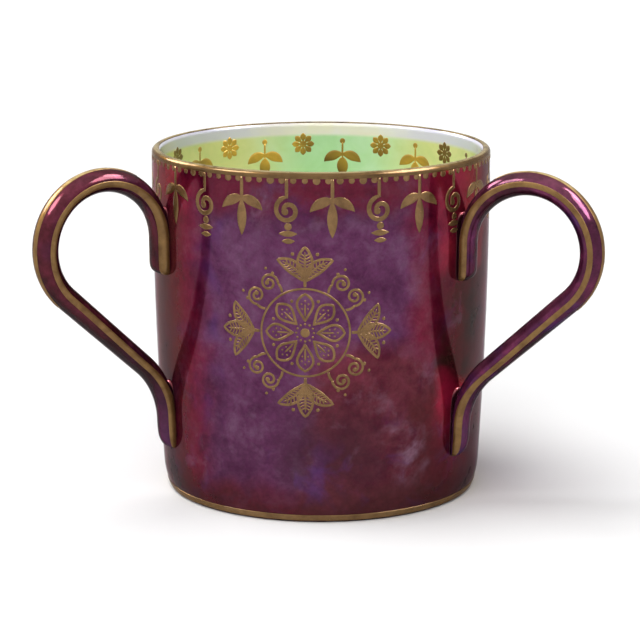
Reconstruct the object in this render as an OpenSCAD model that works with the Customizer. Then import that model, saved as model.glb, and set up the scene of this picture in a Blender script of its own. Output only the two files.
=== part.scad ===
// Three-handled loving cup in glazed bone china with gilt edges, a miniature about two inches tall.
// Millimetres, +Z up. The origin is on the cup's axis, in the plane that the foot stands on.
// The back handle lies over +Y, and the front panel between the other two handles faces -Y.

/* [Body] */
// Height from the table to the top of the lip
height = 51.2; // [47:0.1:60]
// Outside radius at the lip
rim_r = 25; // [23:0.5:28]
// How much narrower the wall is above the heel than at the lip
wall_taper = 1.2; // [0.5:0.1:3]
// Height of the heel, where the wall turns in to the foot
heel_h = 4; // [3:0.5:6]
// How much the heel turns in from the wall to the foot
heel_in = 0.95; // [0.6:0.05:2]
// Swell of the wall past a straight taper
wall_bow = 0.4; // [0.05:0.05:0.8]
// Thickness of the wall
wall_t = 1.3; // [1:0.1:2]
// Thickness of the floor
floor_t = 2; // [1.5:0.1:3]
// Radius of the corner between the floor and the wall inside
inside_fillet = 4.5; // [2:0.5:7]
// Width of the foot ring
foot_w = 1.8; // [1.2:0.1:3]
// Depth of the recess inside the foot ring
foot_recess = 1.2; // [0.6:0.1:2]

/* [Handles] */
// Drop from the top of the lip to the midline of the handle's loop
handle_drop = 2.4; // [2:0.1:4]
// Radius of the loop's midline
loop_r = 9.4; // [8:0.1:10]
// Radius of the bend above the lower root
bend_r = 12; // [9:0.5:13]
// Height at which the bend ends on the lower root
lower_root_z = 12.6; // [10:0.1:14]
// Length of the upper root below the loop, before it thins
upper_root_l = 3; // [2:0.1:5]
// Length over which the upper root thins to its tip
upper_tip_l = 2.6; // [1.5:0.1:4]
// Length of the lower root below the bend, before it thins
lower_root_l = 0.4; // [0.2:0.1:1]
// Length over which the lower root thins to its tip
lower_tip_l = 4.7; // [2:0.1:6]
// Width of the handle in the loop
handle_w = 4.6; // [3.8:0.1:5.6]
// Thickness of the handle in the loop
handle_t = 3.4; // [2.6:0.1:4]
// Thickness of the handle at the end of the straight stem
stem_t = 3; // [2.4:0.1:3.6]
// Width of the upper root
root_w = 4.1; // [3.4:0.1:5]
// Width of the lower root
lower_root_w = 3.5; // [3:0.1:4.5]
// Thickness of a root before it is pressed on
root_t = 2.5; // [2:0.1:3]
// Depth by which a root is flattened against the wall
root_press = 0.45; // [0.3:0.05:0.6]
// How much lower the back handle was set than the front pair
back_drop = 0.9; // [0:0.1:1.5]
// Turn of each handle about its root, off the radial plane
handle_skew = 10; // [-12:1:12]

/* [Joints and gilding] */
// Thickness of the luting slip between a root and the wall
slip_t = 0.25; // [0.15:0.05:0.4]
// Width of the slip that shows round a root
slip_lip = 0.3; // [0.1:0.05:0.6]
// Thickness of a gilt layer
gilt_t = 0.08; // [0.05:0.01:0.15]
// Height of the gilt band outside the lip
rim_band_h = 0.5; // [0.3:0.1:2]
// How far the gilding wraps over the lip, in degrees from the outside
lip_wrap = 150; // [90:5:170]
// Height of the gilt band on the heel
foot_band_h = 0.9; // [0.5:0.1:1.5]
// Height of the bare edge below the gilt band on the heel
foot_band_z = 0.3; // [0.2:0.05:0.5]

/* [Hidden] */
$fn = 96;

// Place of each handle: its bearing about the axis, from +X towards +Y, and its drop
left = [210, 0];
right = [-30, 0];
back = [90, back_drop];

// Colours of the glaze, the slip and the gilding
glaze = [0.34, 0.17, 0.28];
handle_glaze = [0.36, 0.14, 0.25];
slip_grey = [0.27, 0.13, 0.19];
gold = [0.62, 0.48, 0.25];

// Steps along the curves of the profile and of the handle
wall_steps = 10;
heel_steps = 5;
lip_steps = 10;
fillet_steps = 8;
loop_steps = 24;
stem_steps = 4;
bend_steps = 7;
tip_steps = 5;
section_sides = 20;

// Share of a root's tip at which its last section lies, under the wall's face
tip_share = 0.97;
// Share of the loop over which a root swells to the full section
swell = 1 / 3;
// Share of the loop at which the gilt line over its crest starts
crest_from = 1 / 4;
// Half width of a gilt line at its ends, in steps of the section, and the stations it widens over
line_end = 0.35;
line_taper = 5;

// Profile of the body, as points [radius, height]

heel_r = rim_r - wall_taper;
foot_r = heel_r - heel_in;
lip_r = wall_t / 2;
lip_z = height - lip_r;
floor_z = foot_recess + floor_t;

function wall_share(z) = (z - heel_h) / (height - heel_h);

// Outside radius of the wall at a height above the heel
function wall_r(z) =
    let (k = wall_share(z))
    heel_r + (rim_r - heel_r) * k + 4 * wall_bow * k * (1 - k);

// Lean of the wall off the vertical at a height above the heel
function wall_lean(z) =
    let (k = wall_share(z))
    atan((rim_r - heel_r + 4 * wall_bow * (1 - 2 * k)) / (height - heel_h));

// The heel is an arc that leaves the wall in line with it and ends at the foot
heel_lean = wall_lean(heel_h);
heel_chord = [foot_r - heel_r, -heel_h];
heel_inward = [-cos(heel_lean), sin(heel_lean)];
heel_arc_r = (heel_chord * heel_chord) / (2 * heel_chord * heel_inward);
heel_turn = 2 * asin(norm(heel_chord) / (2 * heel_arc_r));
heel_centre = [heel_r, heel_h] + heel_arc_r * heel_inward;

// A point of the heel, raised off it by lift, at a share 0 (foot) to 1 (wall) of the arc
function heel_point(share, lift = 0) =
    let (a = -heel_lean - heel_turn * (1 - share))
    heel_centre + (heel_arc_r + lift) * [cos(a), sin(a)];

// Share of the heel's arc at a height above the table
function heel_share(z) =
    1 - (-heel_lean - asin((z - heel_centre.y) / heel_arc_r)) / heel_turn;

// Outside of the cup from the foot to the shoulder of the lip, raised off it by lift
function outer_side(lift = 0) = concat(
    [for (i = [0:heel_steps]) heel_point(i / heel_steps, lift)],
    [for (i = [1:wall_steps])
        let (z = heel_h + (lip_z - heel_h) * i / wall_steps)
        [wall_r(z) + lift, z]]
);

// Middle of the lip's round
lip_mid = [wall_r(lip_z) - lip_r, lip_z];

// Points round the lip from one bearing to another, raised off it by lift
function lip_arc(from, to, lift = 0) =
    [for (i = [0:lip_steps]) let (a = from + (to - from) * i / lip_steps)
        lip_mid + (lip_r + lift) * [cos(a), sin(a)]];

// The wall's inner face, from the lip down to the fillet, then the fillet to the floor
fillet_z = floor_z + inside_fillet;
fillet_mid = [wall_r(fillet_z) - wall_t - inside_fillet, fillet_z];
function inner_side() = concat(
    [for (i = [1:wall_steps - 1])
        let (z = lip_z + (fillet_z - lip_z) * i / wall_steps)
        [wall_r(z) - wall_t, z]],
    [for (i = [0:fillet_steps]) let (a = -90 * i / fillet_steps)
        fillet_mid + inside_fillet * [cos(a), sin(a)]]
);

// Midline of a handle, in the plane [distance from the axis, height]

seat = root_t / 2 - root_press;
loop_z = height - handle_drop - loop_r;
loop_lean = wall_lean(loop_z);
loop_start = [wall_r(loop_z) + seat, loop_z];
loop_centre = loop_start + loop_r * [cos(loop_lean), -sin(loop_lean)];
bend_lean = wall_lean(lower_root_z);
bend_end = [wall_r(lower_root_z) + seat, lower_root_z];
bend_centre = bend_end + bend_r * [cos(bend_lean), -sin(bend_lean)];

// The stem is the crossing tangent from the loop to the bend
centres = bend_centre - loop_centre;
loop_from = 180 - loop_lean;
loop_to = atan2(centres.y, centres.x) + acos((loop_r + bend_r) / norm(centres));
bend_from = loop_to + 180;
bend_to = 180 - bend_lean;
stem_from = loop_centre + loop_r * [cos(loop_to), sin(loop_to)];
stem_to = bend_centre + bend_r * [cos(bend_from), sin(bend_from)];

// A station of the midline is [distance, height, heading, width, thickness]
up = 90 - loop_lean;
down = 270 - bend_lean;
function station(p, heading, w, t) = [p.x, p.y, heading, w, t];
function reversed(list) = [for (i = [len(list) - 1:-1:0]) list[i]];

// Station of a root, pressed on the wall at a height
function root_station(z, heading, w, t) =
    station([wall_r(z) + t / 2 - root_press, z], heading, w, t);

// Stations of a root's tip, which thins and narrows downwards from a height
function tip(z, l, heading, w) = [
    for (i = [1:tip_steps])
        let (k = tip_share * i / tip_steps)
        root_station(z - l * k, heading, w * sqrt(1 - k * k), root_t * (1 - k * k))
];

upper_tip_z = loop_z - upper_root_l;
lower_tip_z = lower_root_z - lower_root_l;
upper_tip = reversed(tip(upper_tip_z, upper_tip_l, up, root_w));
lower_tip = tip(lower_tip_z, lower_tip_l, down, lower_root_w);
upper_root = [root_station(upper_tip_z, up, root_w, root_t), root_station(loop_z, up, root_w, root_t)];
lower_root = [root_station(lower_tip_z, down, lower_root_w, root_t)];
loop = [for (i = [1:loop_steps])
    let (a = loop_from + (loop_to - loop_from) * i / loop_steps)
    let (k = min(1, i / loop_steps / swell))
    station(loop_centre + loop_r * [cos(a), sin(a)], a - 90,
        root_w + (handle_w - root_w) * k, root_t + (handle_t - root_t) * k)];
stem = [for (i = [1:stem_steps])
    let (k = i / stem_steps)
    station(stem_from + (stem_to - stem_from) * k, loop_to - 90,
        handle_w, handle_t + (stem_t - handle_t) * k)];
bend = [for (i = [1:bend_steps])
    let (k = i / bend_steps)
    let (a = bend_from + (bend_to - bend_from) * k)
    station(bend_centre + bend_r * [cos(a), sin(a)], a + 90 - 360,
        handle_w + (lower_root_w - handle_w) * k, stem_t + (root_t - stem_t) * k)];
midline = concat(upper_tip, upper_root, loop, stem, bend, lower_root, lower_tip);

// Point of a station's oval section at step k, grown by lift off its surface
function section_point(s, k, lift = 0) =
    let (a = 360 * k / section_sides)
    let (out = [cos(a) / s[3], sin(a) / s[4]])
    let (q = [cos(a) * s[3] / 2, sin(a) * s[4] / 2] + lift * out / norm(out))
    [s[0] - sin(s[2]) * q.y, q.x, s[1] + cos(s[2]) * q.y];

// A closed skin over rings of n points each
module skin(rings, n) {
    last = len(rings) - 1;
    points = [for (r = rings) each r];
    sides = [for (i = [0:last - 1], k = [0:n - 1])
        let (a = i * n + k, b = i * n + (k + 1) % n)
        each [[a, a + n, b], [b, a + n, b + n]]];
    ends = [[for (k = [0:n - 1]) k], [for (k = [n - 1:-1:0]) last * n + k]];
    polyhedron(points, concat(sides, ends));
}

// The handle's oval sweep through a list of stations
module sweep(stations) {
    skin([for (s = stations) [for (k = [0:section_sides - 1]) section_point(s, k)]], section_sides);
}

// Half width of a gilt line in steps of the section: narrow at both ends, where the roots meet the wall
function line_half(i, last) = min(1, line_end + (1 - line_end) * min(i, last - i) / line_taper);

// Point of a gilt line beside step k of the section, on its middle (0) or one edge (-1, 1)
function line_point(s, k, edge, half, lift = 0) =
    (1 - half) * section_point(s, k, lift) + half * section_point(s, k + edge, lift);

// A gilt line on the sweep, centred on step k of the section
module gilt_line(stations, k) {
    last = len(stations) - 1;
    skin([for (i = [0:last]) let (half = line_half(i, last)) concat(
        [for (edge = [-1:1]) line_point(stations[i], k, edge, half, gilt_t)],
        [for (edge = [1:-1:-1]) line_point(stations[i], k, edge, half)]
    )], 6);
}

// Moves what is drawn over +X to a handle's place, with the handle's skew about its root
module at_handle(place) {
    rotate(place[0])
        translate([loop_start.x, 0, -place[1]])
            rotate(handle_skew)
                translate([-loop_start.x, 0, 0])
                    children();
}

// All that lies inside the wall's outside face raised by lift
module wall_solid(lift) {
    rotate_extrude()
        polygon(concat([[0, 0]], outer_side(lift), [[0, lip_z]]));
}

module cup_body() {
    foot_in = foot_r - foot_w;
    color(glaze)
        rotate_extrude()
            polygon(concat(
                [[0, foot_recess], [foot_in - foot_recess / 2, foot_recess], [foot_in, 0]],
                outer_side(),
                lip_arc(180 / lip_steps, 180),
                inner_side(),
                [[0, floor_z]]
            ));
}

module handle(place) {
    color(handle_glaze)
        difference() {
            at_handle(place) sweep(midline);
            wall_solid(slip_t);
        }
}

// Slip under the stretch of root that the stations cover, with a lip all round
module slip(place, stations) {
    grown = [for (s = stations) [s[0], s[1], s[2], s[3] + 2 * slip_lip, s[4]]];
    color(slip_grey)
        intersection() {
            at_handle(place) sweep(grown);
            difference() {
                wall_solid(slip_t);
                wall_solid(0);
            }
        }
}
module slip_upper(place) {
    rise = [for (i = [0:floor(loop_steps * swell)]) loop[i]];
    slip(place, concat(upper_tip, upper_root, rise));
}
module slip_lower(place) {
    slip(place, concat(bend, lower_root, lower_tip));
}

module gilt_rim_band() {
    band_z = lip_z - rim_band_h;
    color(gold)
        rotate_extrude()
            polygon(concat(
                [[wall_r(band_z) + gilt_t, band_z]],
                lip_arc(0, lip_wrap, gilt_t),
                lip_arc(lip_wrap, 0),
                [[wall_r(band_z), band_z]]
            ));
}

module gilt_foot_band() {
    low = heel_share(foot_band_z);
    high = heel_share(foot_band_z + foot_band_h);
    shares = [for (i = [0:heel_steps]) low + (high - low) * i / heel_steps];
    color(gold)
        rotate_extrude()
            polygon(concat(
                [for (s = shares) heel_point(s, gilt_t)],
                [for (s = reversed(shares)) heel_point(s)]
            ));
}

// A line along each side of the handle, and one over the crest of the loop
module gilt_lines(place) {
    side = section_sides / 2;
    crest = section_sides / 4;
    along = concat(upper_root, loop, stem, bend, lower_root);
    over = [for (i = [floor(loop_steps * crest_from):loop_steps - 1]) loop[i]];
    color(gold)
        difference() {
            at_handle(place) {
                gilt_line(along, 0);
                gilt_line(along, side);
                gilt_line(over, crest);
            }
            wall_solid(slip_t);
        }
}

cup_body();
handle(left);  // handle_left
handle(right);  // handle_right
handle(back);  // handle_back
slip_upper(left);  // slip_upper_left
slip_upper(right);  // slip_upper_right
slip_upper(back);  // slip_upper_back
slip_lower(left);  // slip_lower_left
slip_lower(right);  // slip_lower_right
slip_lower(back);  // slip_lower_back
gilt_rim_band();
gilt_foot_band();
gilt_lines(left);  // gilt_lines_left
gilt_lines(right);  // gilt_lines_right
gilt_lines(back);  // gilt_lines_back
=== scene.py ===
"""Looks of a three-handled loving cup in lustre-glazed china with gilt ornament.

Sizes are written in millimetres in the CAD frame and become metres when a mesh is made.
Bearings on the cup run from the front, -Y, towards +X.
"""
from collections import namedtuple
from math import acos, asin, atan, atan2, cos, log, pi, radians, sin, sqrt, tau

import bmesh
import bpy
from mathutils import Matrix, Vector


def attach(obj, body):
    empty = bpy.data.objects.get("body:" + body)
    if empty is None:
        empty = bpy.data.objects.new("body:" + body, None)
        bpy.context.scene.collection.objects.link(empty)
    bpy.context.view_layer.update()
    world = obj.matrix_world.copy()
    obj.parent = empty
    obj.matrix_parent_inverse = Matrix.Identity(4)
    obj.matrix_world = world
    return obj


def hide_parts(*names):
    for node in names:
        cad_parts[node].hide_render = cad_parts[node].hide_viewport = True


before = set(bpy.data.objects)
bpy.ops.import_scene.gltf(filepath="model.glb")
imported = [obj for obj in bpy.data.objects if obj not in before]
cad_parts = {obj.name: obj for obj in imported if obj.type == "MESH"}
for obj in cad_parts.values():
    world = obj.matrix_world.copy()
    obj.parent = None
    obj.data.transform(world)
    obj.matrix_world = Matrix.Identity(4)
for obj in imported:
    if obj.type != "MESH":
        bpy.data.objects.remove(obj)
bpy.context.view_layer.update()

MM = 0.001
ROOT = "root"

# Cup
HEIGHT = 51.2
RIM_R = 25.0
HEEL_R = 23.8
FOOT_R = 22.85
HEEL_H = 4.0
WALL_BOW = 0.4
WALL_T = 1.3
FLOOR_Z = 3.2
FILLET_R = 4.5
FOOT_W = 1.8
FOOT_RECESS = 1.2
FOOT_ROUND = 0.25
LIP_R = WALL_T / 2
LIP_Z = HEIGHT - LIP_R

# Handles
HANDLE_DROP = 2.4
LOOP_R = 9.4
BEND_R = 12.0
# Heights at which the loop leaves the wall and the bend comes back to it
LOOP_Z = HEIGHT - HANDLE_DROP - LOOP_R
LOWER_ROOT_Z = 12.6
UPPER_ROOT_L = 3.0
UPPER_TIP_L = 2.6
LOWER_ROOT_L = 0.4
LOWER_TIP_L = 4.7
HANDLE_W = 4.6
HANDLE_T = 3.4
STEM_T = 3.0
ROOT_W = 4.1
LOWER_ROOT_W = 3.5
ROOT_T = 2.5
ROOT_PRESS = 0.45
SEAT = ROOT_T / 2 - ROOT_PRESS
# Share of the loop over which a handle swells from its upper root
SWELL = 1 / 3
# Power of the outline of a root's tip, and the share of the tip that is drawn
TIP_POWER = 4
TIP_SHARE = 0.99
SKEW = radians(10)

# Each handle's bearing from +X towards +Y, drop, half widths of its side lines, and their lean in degrees
Handle = namedtuple("Handle", "name bearing drop loop_half root_half line_lean")
HANDLES = (
    Handle("left", 210, 0.0, 0.5, 0.8, -15),
    Handle("right", -30, 0.0, 0.42, 0.65, 2),
    Handle("back", 90, 0.9, 0.46, 0.7, -6),
)

# Glaze pooled round the roots
POOL_LIP = 0.16
POOL_T = 0.1
POOL_SINK = 0.02
# Gap between handle and wall up to which glaze fills the wedge, and how far it climbs on the handle
WEDGE_GAP = 0.75
WEDGE_CLIMB = 0.14

# Gilding
GILT_T = 0.05
GILT_SINK = 0.06
# Thickness of the inside print, as a share of the gilding's
PRINT_SHARE = 0.3
RIM_BAND_LOW = LIP_Z - 0.2
# How far the gilding goes round the lip, in degrees, and the foot band's lower and upper edge
LIP_WRAP = 125
FOOT_BAND = (0.3, 1.2)
CREST_HALF = 0.45
# Sine of the widest half angle of a line, and the share of the loop at which the crest line starts
LINE_REACH = 0.96
CREST_FROM = 1 / 4
# How far a side line runs off the handle's side towards its crest, in degrees
LOOP_SHIFT = 14
STEM_SHIFT = 24
ROOT_SHIFT = 6

# Steps of the meshes
TURN_STEPS = 288
WALL_STEPS = 48
LIP_STEPS = 16
BAND_STEPS = 8
RIM_BAND_STEPS = 4
BASE_STEPS = 8
INNER_FLOOR_STEPS = 6
HANDLE_SIDES = 48
TIP_STEPS = 14
ROOT_STEPS = 4
LOOP_STEPS = 72
STEM_STEPS = 16
BEND_STEPS = 32
# Radius below which a point counts as on the axis
AXIS_R = 1e-6

# Border under the rim
BEADS = 96
# Radii of the beads in turn, for a hand-painted row
BEAD_RADII = (0.47, 0.6, 0.5, 0.56, 0.48, 0.62, 0.53, 0.5)
BEAD_Z = RIM_BAND_LOW - 0.28
BORDER_REPEATS = 12
SPRIG_BEARING = 8.8
DROP_BEARING = -5.9
ROSETTE_BEARING = 12.0
INNER_SPRIG_BEARING = 27.0
ROSETTE_Z = HEIGHT - 3.4
INNER_SPRIG_Z = HEIGHT - 5.6
# Top of the border's stems, from the top of the lip
STEM_TOP = -0.86
# Share of a line's width left at its ends, of a stem's, and how fast both fill out
LINE_TAPER = 0.35
STEM_TAPER = 0.8
TAPER_RATE = 5
# How far the side leaves bow, as a share of their length
LEAF_BOW = 0.12
# Least half width of a leaf, and the power of its outline
LEAF_LEAST = 0.04
LEAF_POWER = 0.8

# Front medallion
PANEL_Z = 28.4
# Petals of its flower and of the inside rosettes, and seeds round its middle
PETALS = 8
SEEDS = 12
SPRAYS = 4
RING_R = 6.35
RING_STEPS = 72
# Turn of the scrolls on both sides of the middle between two sprays
VOLUTE_TURN = 0.22

# Panels between the handles, and heights between which the pearly band inside begins
PANELS = len(HANDLES)
PEARL_BAND = (LIP_Z - 1.7, LIP_Z - 1.0)
# Bearings of the russet patch on a panel and of the dusky one, and how far the lustre's borders wander
PATCH_BEARING = radians(24)
DUSK_BEARING = radians(7)
WANDER = 8.0
# Heights between which the lustre takes on the foot's colours
FOOT_ZONE = (8, 2)

# Broad far lamps: the way their light goes, spread in degrees and strength; a card shows only in gloss
Lamp = namedtuple("Lamp", "name aim spread strength card", defaults=(False,))
LAMPS = (
    Lamp("key", (0.36, 0.03, -1.0), 36, 1.9),
    Lamp("front", (0.05, 0.8, -0.7), 50, 1.5),
    Lamp("left_card", (0.72, -0.48, -0.49), 26, 3.2, card=True),
    Lamp("right_card", (-0.7, 0.12, -0.7), 32, 3.8, card=True),
    Lamp("top_card", (-0.56, -0.19, -0.8), 20, 2.0, card=True),
    Lamp("shoulder_card", (0.66, 0.18, -0.72), 24, 2.4, card=True),
)
WORLD_LIGHT = 0.27
FLOOR_LIFT = 0.03
# Half the floor's width, in metres
FLOOR_HALF = 6.0

# Camera, fitted to the photograph's frame
CAM_AZIMUTH = radians(5.2)
CAM_PITCH = radians(12.7)
CAM_DISTANCE = 385.0
CAM_TARGET = (-0.156, 0.0, 24.7)
CAM_LENS = 144.0
CAM_SENSOR = 36.0
# Nearest distance that the camera sees, in metres
CAM_NEAR = 0.01


# Shape of the cup

def wall_share(z):
    return (z - HEEL_H) / (HEIGHT - HEEL_H)


def wall_r(z):
    """Outside radius of the wall at a height above the heel."""
    k = wall_share(z)
    return HEEL_R + (RIM_R - HEEL_R) * k + 4 * WALL_BOW * k * (1 - k)


def wall_lean(z):
    """Lean of the wall off the vertical."""
    k = wall_share(z)
    return atan((RIM_R - HEEL_R + 4 * WALL_BOW * (1 - 2 * k)) / (HEIGHT - HEEL_H))


def at(x, y):
    return Vector((x, y))


def square_to(way):
    """The same way turned a quarter to the right."""
    return at(way.y, -way.x)


def polar(radius, angle):
    return at(radius * cos(angle), radius * sin(angle))


def heel_arc():
    """Centre, radius, first and last angle of the heel's arc, from the foot up to the wall."""
    lean = wall_lean(HEEL_H)
    chord = at(FOOT_R - HEEL_R, -HEEL_H)
    inward = at(-cos(lean), sin(lean))
    radius = chord.length_squared / (2 * chord.dot(inward))
    turn = 2 * asin(chord.length / (2 * radius))
    return at(HEEL_R, HEEL_H) + radius * inward, radius, -lean - turn, -lean


def spread(first, last, steps):
    """Values from first to last in even steps."""
    return [first + (last - first) * i / steps for i in range(steps + 1)]


def round_angles(count):
    """Even angles round a full turn."""
    return [tau * k / count for k in range(count)]


def outside_profile(steps):
    """Points (radius, height) from the foot up to the lip's shoulder."""
    centre, radius, low, high = heel_arc()
    heel = [centre + polar(radius, a) for a in spread(low, high, steps // 4)]
    wall = [at(wall_r(z), z) for z in spread(HEEL_H, LIP_Z, steps)]
    return heel + wall[1:]


def lip_profile(first, last, lift=0.0):
    """Points round the lip between two angles in degrees, raised by lift."""
    middle = at(wall_r(LIP_Z) - LIP_R, LIP_Z)
    return [middle + polar(LIP_R + lift, radians(a)) for a in spread(first, last, LIP_STEPS)]


def inside_profile(steps):
    """Points from the lip's inner shoulder down the wall and round the fillet to the floor."""
    fillet_z = FLOOR_Z + FILLET_R
    wall = [at(wall_r(z) - WALL_T, z) for z in spread(LIP_Z, fillet_z, steps)]
    middle = at(wall_r(fillet_z) - WALL_T - FILLET_R, fillet_z)
    fillet = [middle + polar(FILLET_R, a) for a in spread(0, -pi / 2, steps // 3)]
    floor = [at(r, FLOOR_Z) for r in spread(fillet[-1].x, 0.0, INNER_FLOOR_STEPS)]
    return wall[1:] + fillet[1:] + floor[1:]


# Meshes

def add_object(name, data):
    """An object in the scene."""
    made = bpy.data.objects.new(name, data)
    bpy.context.scene.collection.objects.link(made)
    return made


def make_piece(name, skin, material, replaces=()):
    """A smooth piece from points in millimetres and faces, riding on the cup."""
    points, faces = skin
    mesh = bpy.data.meshes.new(name)
    mesh.from_pydata([[c * MM for c in p] for p in points], [], faces)
    shell = bmesh.new()
    shell.from_mesh(mesh)
    bmesh.ops.recalc_face_normals(shell, faces=shell.faces)
    shell.to_mesh(mesh)
    shell.free()
    mesh.polygons.foreach_set("use_smooth", [True] * len(mesh.polygons))
    mesh.materials.append(material)
    piece = add_object(name, mesh)
    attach(piece, ROOT)
    if replaces:
        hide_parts(*replaces)
    return piece


def ring_faces(rings, size, closed=False):
    """Quads between rings of size points; the last joins the first where closed, or else both are filled."""
    faces = []
    for i in range(rings if closed else rings - 1):
        a, b = i * size, (i + 1) % rings * size
        faces += [(a + k, a + (k + 1) % size, b + (k + 1) % size, b + k) for k in range(size)]
    if not closed:
        faces += [tuple(range(size)), tuple(range((rings - 1) * size, rings * size))]
    return faces


def revolve(profile, closed):
    """Points and faces of a profile turned about the axis; points on the axis are shared."""
    points, faces, rows = [], [], []
    for radius, z in profile:
        count = TURN_STEPS if radius > AXIS_R else 1
        rows.append([len(points) + k for k in range(count)])
        for k in range(count):
            a = tau * k / TURN_STEPS
            points.append((radius * sin(a), -radius * cos(a), z))
    for low, high in zip(rows, rows[1:] + rows[:1] if closed else rows[1:]):
        for k in range(TURN_STEPS):
            n = (k + 1) % TURN_STEPS
            corners = [low[k % len(low)], low[n % len(low)], high[n % len(high)], high[k % len(high)]]
            faces.append(tuple(dict.fromkeys(corners)))
    return points, faces


# Reliefs: thin raised shapes drawn flat as (across, up, lift), then wrapped on the wall

# Sections of gilding and of pooled glaze: shares of half width and of height, or None where they sink in
SECTION = ((-1.0, None), (-0.86, 0.7), (-0.4, 0.95), (0.0, 1.0), (0.4, 0.95), (0.86, 0.7), (1.0, None))
DOT_SECTION = ((1.0, None), (0.85, 0.7), (0.45, 1.0))
POOL_SECTION = ((-1.0, None), (-0.88, 0.25), (-0.76, 0.8), (0.0, 1.0), (0.76, 0.8), (0.88, 0.25), (1.0, None))
# Steps across half a handle's line, and the share of its height that it falls to its edges
LINE_STEPS = 8
LINE_CROWN = 0.3


def line_section():
    """The section of a line on a handle, in steps fine enough for its curve."""
    shares = [k / LINE_STEPS for k in range(1 - LINE_STEPS, LINE_STEPS)]
    return [(-1.0, None)] + [(s, 1 - LINE_CROWN * s ** 2) for s in shares] + [(1.0, None)]


def gilt_lift(rise):
    """Height of gilding over what it lies on."""
    return -GILT_SINK if rise is None else GILT_T * rise


class Relief:
    """Points and faces of a raised drawing, or of several pieces of gilding as one."""

    def __init__(self):
        self.points = []
        self.faces = []

    def add(self, points, faces):
        first = len(self.points)
        self.points += points
        self.faces += [tuple(first + i for i in f) for f in faces]

    def skin(self):
        return self.points, self.faces

    def ribbon(self, path, half, closed=False):
        """A raised line along path, half as wide each side as the list half says."""
        points = []
        count = len(path)
        for i, (p, h) in enumerate(zip(path, half)):
            if closed:
                along = path[(i + 1) % count] - path[i - 1]
            else:
                along = path[min(i + 1, count - 1)] - path[max(i - 1, 0)]
            side = square_to(along).normalized()
            for share, rise in SECTION:
                q = p + side * h * share
                points.append((q.x, q.y, gilt_lift(rise)))
        self.add(points, ring_faces(count, len(SECTION), closed))

    def dot(self, centre, radius, sides=12):
        """A raised round dot."""
        points = []
        for share, rise in DOT_SECTION:
            ring = [centre + polar(radius * share, a) for a in round_angles(sides)]
            points += [(q.x, q.y, gilt_lift(rise)) for q in ring]
        self.add(points, ring_faces(len(DOT_SECTION), sides))

    def stroke(self, path, width, taper=LINE_TAPER):
        """A line of one width that narrows to a share of it at both ends."""
        count = len(path) - 1
        full = [min(1.0, TAPER_RATE * min(i, count - i) / count) for i in range(count + 1)]
        self.ribbon(path, [width / 2 * (taper + (1 - taper) * f) for f in full])

    def stem(self, top, foot, width, taper=STEM_TAPER, steps=6):
        """An upright stroke between two heights."""
        self.stroke(bowed(at(0, top), at(0, foot), 0.0, steps), width, taper)

    def leaf(self, base, tip, width, bow=0.0, fullest=0.55, steps=14):
        """A solid pointed leaf from base to tip, bowed to one side, widest at the share fullest."""
        path = bowed(base, tip, bow, steps)
        self.ribbon(path, leaf_widths(width, fullest, steps))

    def side_leaves(self, overlap, fork, reach, tip, width, fullest):
        """A leaf to each side, from a height where they overlap to a reach and a height."""
        for sign in (-1, 1):
            self.leaf(at(-overlap * sign, fork), at(reach * sign, tip), width, -LEAF_BOW * sign, fullest)

    def leaf_outline(self, base, tip, width, line, bow=0.0, fullest=0.55, steps=14):
        """The outline of a leaf as a closed line."""
        path = bowed(base, tip, bow, steps)
        half = leaf_widths(width, fullest, steps)
        rim = []
        for i in list(range(steps + 1)) + list(range(steps - 1, 0, -1)):
            sign = 1 if len(rim) <= steps else -1
            along = path[min(i + 1, steps)] - path[max(i - 1, 0)]
            rim.append(path[i] + square_to(along).normalized() * half[i] * sign)
        self.ribbon(rim, [line / 2] * len(rim), closed=True)

    def placed(self, turn, flip=False):
        """A copy turned about its origin, mirrored across first if flip."""
        made = Relief()
        c, s = cos(turn), sin(turn)
        sign = -1 if flip else 1
        made.points = [(sign * x * c - y * s, sign * x * s + y * c, h) for x, y, h in self.points]
        made.faces = list(self.faces)
        return made

    def take(self, other):
        self.add(other.points, other.faces)


def bowed(base, tip, bow, steps):
    """Points from base to tip on a curve whose middle stands off by bow times its length."""
    across = tip - base
    side = square_to(across)
    return [base + across * t + side * 4 * bow * t * (1 - t) for t in spread(0.0, 1.0, steps)]


def leaf_widths(width, fullest, steps):
    """Half widths of a pointed leaf along its length."""
    power = log(0.5) / log(fullest)
    inner = [sin(pi * t ** power) ** LEAF_POWER for t in spread(0.0, 1.0, steps)[1:-1]]
    return [LEAF_LEAST] + [max(LEAF_LEAST, width / 2 * full) for full in inner] + [LEAF_LEAST]


def spiral(centre, start_r, end_r, start, turns, steps):
    """Points of a spiral about centre, from an angle in degrees and for so many turns."""
    return [centre + polar(start_r + (end_r - start_r) * t, radians(start) + tau * turns * t)
            for t in spread(0.0, 1.0, steps)]


def wrap_outside(relief, bearing, z):
    """Points of a relief laid on the outside wall with its origin at a bearing and height."""
    for x, y, h in relief.points:
        r = wall_r(z + y)
        a = radians(bearing) + x / r
        yield (r + h) * sin(a), -(r + h) * cos(a), z + y


def wrap_inside(relief, bearing, z):
    """The same on the inside wall, seen from the axis."""
    for x, y, h in relief.points:
        r = wall_r(z + y) - WALL_T - (h * PRINT_SHARE if h > 0 else h)
        a = radians(bearing) - x / r
        yield r * sin(a), -r * cos(a), z + y


def lay(name, reliefs, wrap, material):
    """One gilt piece from reliefs [(relief, bearing, height)] wrapped on a wall."""
    made = Relief()
    for relief, bearing, z in reliefs:
        made.add(wrap(relief, bearing, z), relief.faces)
    make_piece(name, made.skin(), material)


def repeated(relief, bearing, z):
    """A border's relief, repeated round the wall from a bearing on."""
    return [(relief, bearing + 360 * k / BORDER_REPEATS, z) for k in range(BORDER_REPEATS)]


# Ornament

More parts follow.
